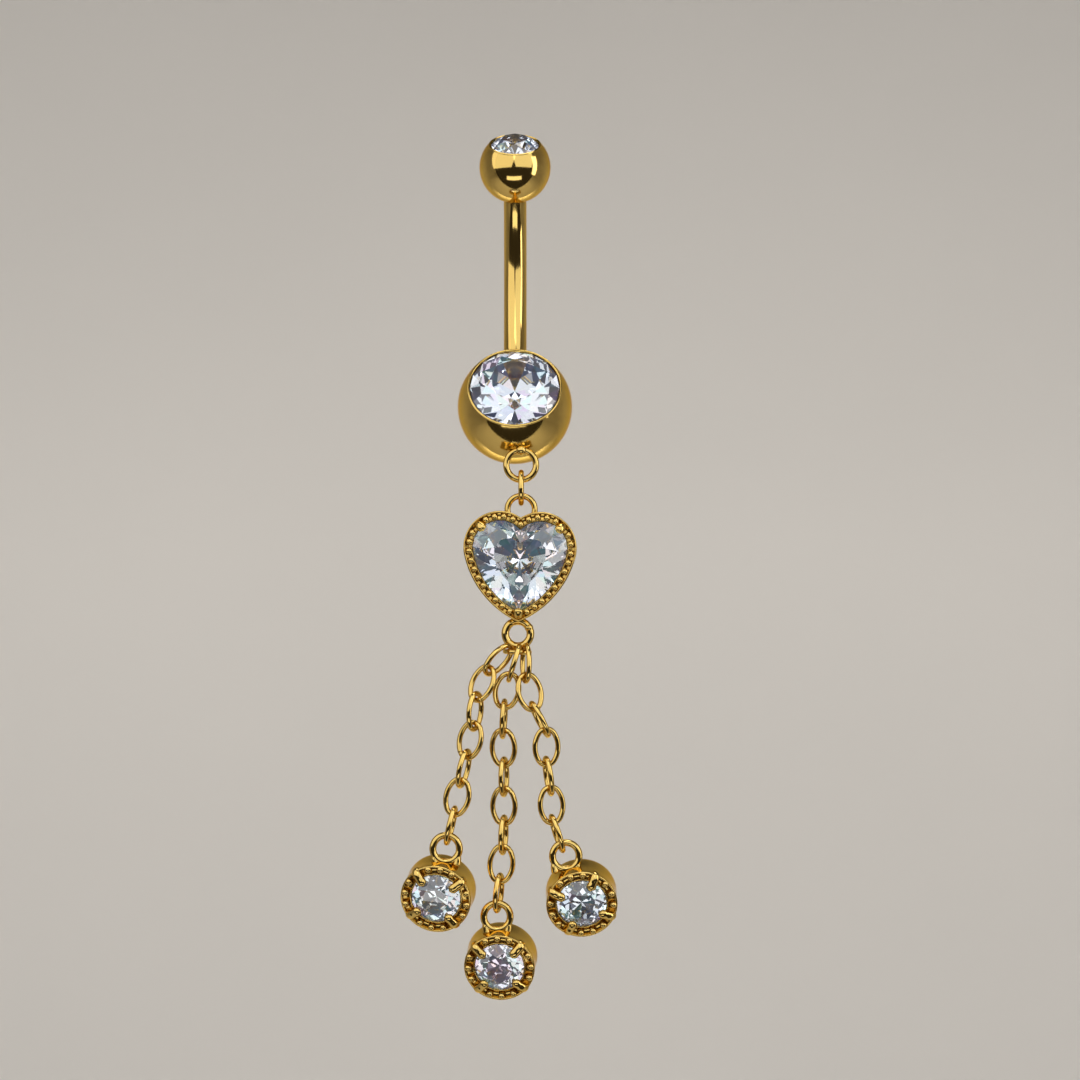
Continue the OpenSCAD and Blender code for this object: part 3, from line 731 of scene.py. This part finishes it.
# A claw's middle line as (outward, forward) from the stone's edge, its radii, and its width as a
# share of its thickness.
HEART_FINGER = ([(0.30, -0.30), (0.28, -0.02), (0.15, 0.20), (-0.06, 0.31), (-0.24, 0.33)],
                (0.26, 0.28, 0.29, 0.30, 0.29), 1.15)
DROP_FINGER = ([(0.58, -0.30), (0.56, -0.04), (0.40, 0.13), (0.14, 0.20), (-0.13, 0.28),
                (-0.40, 0.35)], (0.27, 0.29, 0.27, 0.26, 0.28, 0.32), 1.2)

# Solder of a drop's bail, in radii of its middle line from its middle, with first and last radii
# in its wire: a foot on each side and a saddle between them.
BAIL_FOOT = [(0.84, -0.55), (0.86, -0.80), (0.82, -1.04), (0.78, -1.22)]
BAIL_SOLDER = (([(-x, z) for x, z in BAIL_FOOT], 0.47, 0.60), (BAIL_FOOT, 0.47, 0.60),
               ([(-0.72, -0.76), (0.0, -0.93), (0.72, -0.76)], 0.42, 0.42))
SOLDER_STEPS = 9


def bezel_profile(hole, pocket, wall_in, wall_out, ledge, depth):
    """Section of a setting as (outward, forward) pairs from the back of the hole round to the
    back of the wall: ledge, pocket, rounded collar beside the stone, hollow channel, rounded
    lip, outer wall that draws in a little, and rounded back edge. The lip's top is at 0."""
    lip = (wall_out - wall_in) / 2
    floor = np.linspace(pocket + 2 * COLLAR, wall_in, 9)
    dip = CHANNEL_DIP * np.sin(np.pi * (floor - floor[0]) / (floor[-1] - floor[0]))
    side = np.linspace(0, 1, 7)[1:-1]
    outer = np.stack([wall_out - WAIST * np.sin(np.pi * side) ** 2,
                      -lip - side * (depth - BACK_EDGE - lip)], 1)
    return np.concatenate([
        [[hole, -depth], [hole, ledge], [pocket, ledge]],
        arc_points(pocket + COLLAR, -BACK - COLLAR, COLLAR, 180, 0, 9),
        np.stack([floor, -CHANNEL - dip], 1),
        arc_points(wall_in + lip, -lip, lip, 180, 0, 11),
        outer,
        arc_points(wall_out - BACK_EDGE, BACK_EDGE - depth, BACK_EDGE, 0, -90, 7)])


def heart_bezel():
    """The bezel's section carried round the heart: point (i, k) is the outline grown by the
    section's outward value, at the section's height."""
    ledge = -BACK - GIRDLE - 1.5 * LEDGE_REACH * HEART_PAVILION / LOBE
    section = bezel_profile(-LEDGE, GAP, HEART_BORDER - WALL, HEART_BORDER, ledge, HEART_DEPTH)
    t = (np.arange(BEZEL_STEPS + 1) / BEZEL_STEPS)[:, None]
    flat = whole_heart(heart_side(section[None, :, 0], t)[0])
    height = np.broadcast_to(section[None, :, 1:] + BACK, flat.shape[:2] + (1,))
    return (np.concatenate([flat, height], -1).reshape(-1, 3),
            grid_faces(len(flat), len(section)))


def drop_bezel(radius, reach):
    """The same section turned about the drop's axis."""
    ledge = -BACK - GIRDLE - LEDGE_REACH * PAVILION * 2
    section = bezel_profile(radius - LEDGE, radius + GAP, reach - WALL, reach, ledge, DROP_DEPTH)
    points, faces = turned(section + [0, BACK])
    return points, faces[:, ::-1]


def claws(edges, outward, knots, radii, wide):
    """Fingers over a stone's edge: each stands in the channel at an edge point and bends over
    the crown along its outward direction. The last radii follow a circle, for a round tip."""
    count, tip_count, tip_start, tip_end = 15, 4, 0.15, 0.93
    flat = smooth_path(knots, count)
    size = np.interp(np.linspace(0, 1, count), np.linspace(0, 1, len(radii)), radii)
    size[-tip_count:] *= np.sqrt(1 - np.linspace(tip_start, tip_end, tip_count) ** 2)
    return joined(*[finger(np.concatenate([e + flat[:, :1] * o, flat[:, 1:]], 1), size,
                           np.array([-o[1], o[0], 0.0]), wide) for e, o in zip(edges, outward)])


class RING_OT_heart(bpy.types.Operator):
    """Heart setting: beaded bezel, three claws, two bails and the level ring for the chains"""
    bl_idname = "ring.heart"
    bl_label = "Heart setting"

    def execute(self, context):
        seat, body = heart_seat(), BODY_OF["heart_setting"]
        crease(gold_piece("heart_bezel", placed(heart_bezel(), seat), body, ["heart_setting"]))

        steps = np.arange(HEART_BEADS)
        keep = steps[steps != HEART_CLAW]
        right, _ = heart_side((GAP + HEART_BORDER - WALL) / 2, keep / HEART_BEADS)
        spots = np.concatenate([right, right[1:] * [-1, 1]])
        beads = pearls(at_height(spots, BACK - CHANNEL + BEAD_UP * BEAD), Z_AXIS, BEAD / 2)
        gold_piece("heart_beads", placed(beads, seat), body)

        edge, turn = heart_side(0.0, HEART_CLAW / HEART_BEADS)
        tip, _ = heart_side(0.0, 1.0)
        edges = np.array([edge, edge * [-1, 1], tip])
        out = np.array([[math.cos(turn), math.sin(turn)], [-math.cos(turn), math.sin(turn)],
                        [0.0, -1.0]])
        gold_piece("heart_claws", placed(claws(edges, out, *HEART_FINGER), seat), body)

        # Rings in the upright plane through the bezel's middle, and the level ring below them.
        # Solder: a bead on the lower bail's right shoulder and one on the level ring.
        ring_r, low_r = (LEVEL_RING - LEVEL_WIRE) / 2, (LOW_BAIL - LOW_WIRE) / 2
        mid = BACK - HEART_DEPTH / 2
        top = seat_point(seat, top_of("heart_setting") - Z_AXIS * BAIL / 2)[1]
        low = heart_side(HEART_BORDER, 1.0)[0][1] - 0.95 * low_r
        level = low - low_r - 0.4 * (LOW_WIRE + LEVEL_WIRE)
        shoulder = low_r * math.cos(math.pi / 6), low + low_r * math.sin(math.pi / 6), mid
        wires = joined(
            wire_ring((0, top, mid), BAIL, BAIL_WIRE, Z_AXIS, joint=0.62),
            wire_ring((0, low, mid), LOW_BAIL, LOW_WIRE, Z_AXIS, joint=0.08),
            wire_ring((0, level, mid + ring_r), LEVEL_RING, LEVEL_WIRE, Y_AXIS, joint=0.3),
            pearls(shoulder, (0.8, 0.5, 0.0), radius=0.33, squash=0.9),
            pearls((0, level + 0.5 * LEVEL_WIRE, mid), Y_AXIS, radius=0.24, squash=0.9))
        gold_piece("heart_bails", placed(wires, seat), body)
        return {"FINISHED"}


class RING_OT_drops(bpy.types.Operator):
    """Round drop settings: beaded bezel, four long claws over the stone and an upright bail"""
    bl_idname = "ring.drops"
    bl_label = "Drops"

    def execute(self, context):
        steps = np.arange(DROP_STEPS)
        a = np.pi / 4 + steps * 2 * np.pi / DROP_STEPS
        ring = np.stack([np.cos(a), np.sin(a)], 1)
        for drop in DROPS:
            seat, body = drop_seat(drop), BODY_OF[drop]
            radius = seat["width"] / 2
            reach = radius + DROP_BORDER
            crease(gold_piece(f"{drop}_bezel", placed(drop_bezel(radius, reach), seat), body,
                              [drop]))
            beads = ring[steps % DROP_CLAW_STEP != 0] * (reach - DROP_BEAD_IN * DROP_BEAD)
            spots = at_height(beads, BACK - DROP_BEAD_DOWN * DROP_BEAD)
            gold_piece(f"{drop}_beads", placed(pearls(spots, Z_AXIS, DROP_BEAD / 2), seat), body)
            out = ring[::DROP_CLAW_STEP]
            over = claws(out * radius, out, *DROP_FINGER)
            gold_piece(f"{drop}_claws", placed(over, seat), body)
            centre = top_of(drop) - Z_AXIS * DROP_BAIL / 2
            r = (DROP_BAIL - DROP_WIRE) / 2
            solder = [finger(centre + r * across_plane(smooth_path(knots, SOLDER_STEPS)),
                             np.linspace(first, last, SOLDER_STEPS) * DROP_WIRE, Y_AXIS)
                      for knots, first, last in BAIL_SOLDER]
            bail = wire_ring(centre, DROP_BAIL, DROP_WIRE, Y_AXIS, joint=0.9)
            gold_piece(f"{drop}_bail", joined(bail, *solder), body)
        return {"FINISHED"}


# ---------------------------------------------------------------- metal

class RING_OT_metal(bpy.types.Operator):
    """Polished plating on the bar and the balls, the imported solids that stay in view"""
    bl_idname = "ring.metal"
    bl_label = "Polished metal"

    def execute(self, context):
        for name, node in NODES.items():
            if node.hide_render or name.endswith("_stone"):
                continue
            node.data.materials.clear()
            node.data.materials.append(finished("polished_gold"))
        return {"FINISHED"}


class RING_OT_chains(bpy.types.Operator):
    """Oval links of drawn wire, each closed by a soldered butt joint"""
    bl_idname = "ring.chains"
    bl_label = "Chain links"

    def execute(self, context):
        sizes = context.scene.metal_sizes
        link = sizes.link_length, sizes.link_width, sizes.link_wire
        connector = sizes.connector_length, sizes.connector_width, sizes.connector_wire
        for count, node in enumerate(LINKS + ["connector_link"]):
            size = connector if node == "connector_link" else link
            wire = oval_wire(*size, joint=0.25 + 0.5 * (count % 2))
            gold_piece(f"{node}_wire", placed(wire, flat_seat(node)), BODY_OF[node], [node])
        return {"FINISHED"}


class RING_OT_rims(bpy.types.Operator):
    """Bright rolled rim that holds the stone of each ball"""
    bl_idname = "ring.rims"
    bl_label = "Ball rims"

    def execute(self, context):
        wire, proud = context.scene.metal_sizes.rim_wire, 0.03
        for stone, ball in BALL_STONES.items():
            seat = stone_seat(stone, Z_AXIS)
            across = seat["width"] + 2 * GAP + 2 * wire
            ring = wire_ring((0, 0, proud), across, wire, Z_AXIS, joint=0.5)
            gold_piece(f"{stone}_rim", placed(ring, seat), BODY_OF[ball])
        return {"FINISHED"}


# ---------------------------------------------------------------- studio

# Metres: the sweep's floor, the reach, height and bend of its wall, its floor's inner end, and
# how far it is cut off and set back toward the camera.
FLOOR_Z, WALL_REACH, WALL_TOP, WALL_BEND = -0.20, 0.60, 0.70, 0.18
FLOOR_START, FRONT_CUT, SET_BACK = 0.1, -0.2, 0.035
SWEEP_STEPS, SWEEP_FROM, SWEEP_TO = 73, -20, 200

AIM = (0.0, -0.004, -0.02)
# Name, place, point looked at, width and height, brightness and colour of each soft box.
SOFT_BOXES = (
    ("key_box", (-0.15, -0.17, 0.13), AIM, (0.40, 0.38), 1.05, (1.0, 0.98, 0.95)),
    ("side_box", (0.20, -0.085, 0.01), AIM, (0.06, 0.20), 2.4, (1.0, 0.98, 0.95)),
    ("top_box", (0.02, 0.02, 0.22), AIM, (0.20, 0.10), 3.0, (0.97, 0.98, 1.0)),
    ("front_box", (0.12, -0.22, 0.12), AIM, (0.32, 0.32), 1.05, (0.98, 0.99, 1.0)),
    ("low_box", (-0.01, -0.20, -0.17), AIM, (0.22, 0.06), 1.4, (1.0, 0.98, 0.96)),
    ("board_box", (0.0, 0.12, -0.14), (0.0, 0.60, 0.02), (0.30, 0.20), 5.0, (1.0, 0.99, 0.97)),
)
AIR = (0.03, 0.026, 0.022)
SENSOR = 36.0


def soft_light(name, place, aim, size, brightness, colour):
    """A rectangular soft box that looks at a point; its power is its brightness times pi times
    its area."""
    lamp = bpy.data.lights.new(name, "AREA")
    lamp.shape, lamp.size, lamp.size_y = "RECTANGLE", size[0], size[1]
    lamp.energy, lamp.color = brightness * math.pi * size[0] * size[1], colour
    made = bpy.data.objects.new(name, lamp)
    made.location = place
    made.visible_camera = False
    made.rotation_euler = (Vector(aim) - Vector(place)).to_track_quat("-Z", "Y").to_euler()
    bpy.context.scene.collection.objects.link(made)


def sweep_surface():
    """Floor, quarter circle and upright wall as (reach, height) pairs, carried round the ring
    and open toward the camera: point (i, k) = (reach k x cos i, reach k x sin i, height k),
    with its y no less than the front cut, and then set back."""
    a = np.linspace(0, math.pi / 2, 16)
    bend = np.stack([WALL_REACH - WALL_BEND + WALL_BEND * np.sin(a),
                     FLOOR_Z + WALL_BEND - WALL_BEND * np.cos(a)], -1)
    profile = np.concatenate([[[0.0, FLOOR_Z], [FLOOR_START, FLOOR_Z]], bend,
                              [[WALL_REACH, WALL_TOP]]])
    turn = np.linspace(math.radians(SWEEP_FROM), math.radians(SWEEP_TO), SWEEP_STEPS)[:, None]
    reach, height = profile[:, 0], profile[:, 1]
    points = np.stack([reach * np.cos(turn),
                       np.maximum(reach * np.sin(turn), FRONT_CUT) - SET_BACK,
                       np.broadcast_to(height, (SWEEP_STEPS, len(profile)))], -1)
    return points.reshape(-1, 3), grid_faces(SWEEP_STEPS, len(profile), False, False)


class RING_OT_studio(bpy.types.Operator):
    """Pale floor that sweeps up behind the ring, soft boxes and the camera"""
    bl_idname = "ring.studio"
    bl_label = "Studio"

    def execute(self, context):
        scene = context.scene
        values = scene.studio_values
        points, faces = sweep_surface()
        sweep = new_object("sweep", points, faces.tolist(), board_finish(values.backdrop, 0.85))
        for box in SOFT_BOXES:
            soft_light(*box)

        world = bpy.data.worlds.new("studio_air")
        world.use_nodes = True
        air = world.node_tree.nodes["Background"].inputs
        air["Color"].default_value, air["Strength"].default_value = rgba(AIR), 1.0
        scene.world = world

        lens = bpy.data.cameras.new("camera")
        lens.sensor_fit, lens.sensor_width = "HORIZONTAL", SENSOR
        lens.lens = SENSOR * values.distance / values.field
        lens.clip_start, lens.clip_end = 0.005, 10.0
        camera = bpy.data.objects.new("camera", lens)
        camera.location = (values.aside, -values.distance, values.height)
        camera.rotation_euler = (math.pi / 2, 0.0, 0.0)
        scene.collection.objects.link(camera)
        scene.camera = camera
        scene.view_settings.view_transform = "Standard"
        return {"FINISHED"}


# ---------------------------------------------------------------- panel and run

class RING_PT_panel(bpy.types.Panel):
    """Sizes, colours and the steps that build the ring"""
    bl_idname = "RING_PT_panel"
    bl_label = "Navel ring"
    bl_space_type = "VIEW_3D"
    bl_region_type = "UI"
    bl_category = "Navel Ring"

    def draw(self, context):
        for group in (context.scene.metal_sizes, context.scene.finish_colours,
                      context.scene.studio_values):
            box = self.layout.box()
            for name in group.bl_rna.properties.keys():
                if name not in ("rna_type", "name"):
                    box.prop(group, name)
        for step in STEPS:
            self.layout.operator(step.bl_idname)


GROUPS = {"metal_sizes": MetalSizes, "finish_colours": FinishColours,
          "studio_values": StudioValues}
STEPS = (RING_OT_studio, RING_OT_cut_stones, RING_OT_heart, RING_OT_drops, RING_OT_chains,
         RING_OT_rims, RING_OT_metal)


def register():
    """Registers the classes and adds the three groups to the scene."""
    for cls in (*GROUPS.values(), *STEPS, RING_PT_panel):
        bpy.utils.register_class(cls)
    for name, group in GROUPS.items():
        setattr(bpy.types.Scene, name, bpy.props.PointerProperty(type=group))


def unregister():
    """Takes the groups and the classes away again."""
    for name in GROUPS:
        delattr(bpy.types.Scene, name)
    for cls in (RING_PT_panel, *reversed(STEPS), *reversed(list(GROUPS.values()))):
        bpy.utils.unregister_class(cls)


def main():
    """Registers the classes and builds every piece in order."""
    register()
    bpy.ops.ring.studio()
    bpy.ops.ring.cut_stones()
    bpy.ops.ring.heart()
    bpy.ops.ring.drops()
    bpy.ops.ring.chains()
    bpy.ops.ring.rims()
    bpy.ops.ring.metal()


if __name__ == "__main__":
    main()
